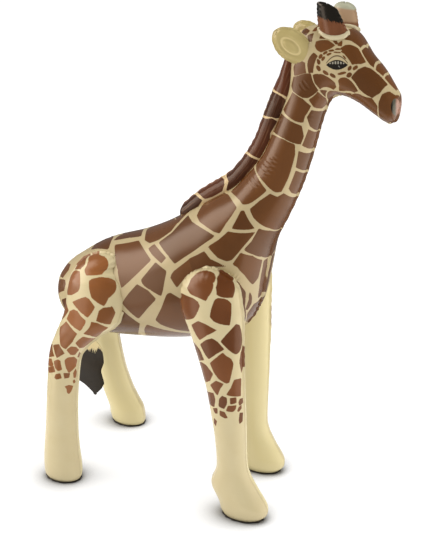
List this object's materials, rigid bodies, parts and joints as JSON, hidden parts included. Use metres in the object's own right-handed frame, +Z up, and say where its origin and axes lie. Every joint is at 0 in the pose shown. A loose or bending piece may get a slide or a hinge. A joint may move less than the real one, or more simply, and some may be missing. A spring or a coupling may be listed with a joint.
{
  "type": "inflatable giraffe",
  "caption": "Standing inflatable giraffe of welded printed vinyl: barrel body, long neck with a tube mane, horns, leaf ears, flat tail tuft, and legs closed by flat soles.",
  "frame": {"origin": "middle of the footprint's bounding box, on the floor under the soles", "axes": "+Z up from the floor to the horn tips, +X towards the head, +Y towards the giraffe's left side"},
  "size_m": [0.6622, 0.312, 0.9105],
  "materials": {
    "coat_vinyl": "glossy soft PVC film printed with a brown and cream giraffe coat",
    "mane_vinyl": "glossy soft PVC film printed dark brown with cream cross bands",
    "leg_vinyl": "glossy soft PVC film, cream, printed with brown patches down to the knee outside",
    "sole_vinyl": "soft PVC film, black",
    "horn_vinyl": "glossy soft PVC film, brown with a black tip",
    "ear_vinyl": "glossy soft PVC film, cream",
    "tail_vinyl": "flat doubled PVC film, black tuft with a cream fringe"
  },
  "bodies": {
    "root": {"body": "coat_vinyl", "mane": "mane_vinyl", "leg_front_right": "leg_vinyl", "leg_front_left": "leg_vinyl", "leg_rear_right": "leg_vinyl", "leg_rear_left": "leg_vinyl", "sole_front_right": "sole_vinyl", "sole_front_left": "sole_vinyl", "sole_rear_right": "sole_vinyl", "sole_rear_left": "sole_vinyl", "horn_right": "horn_vinyl", "horn_left": "horn_vinyl", "ear_right": "ear_vinyl", "ear_left": "ear_vinyl", "tail": "tail_vinyl"}
  },
  "joints": []
}
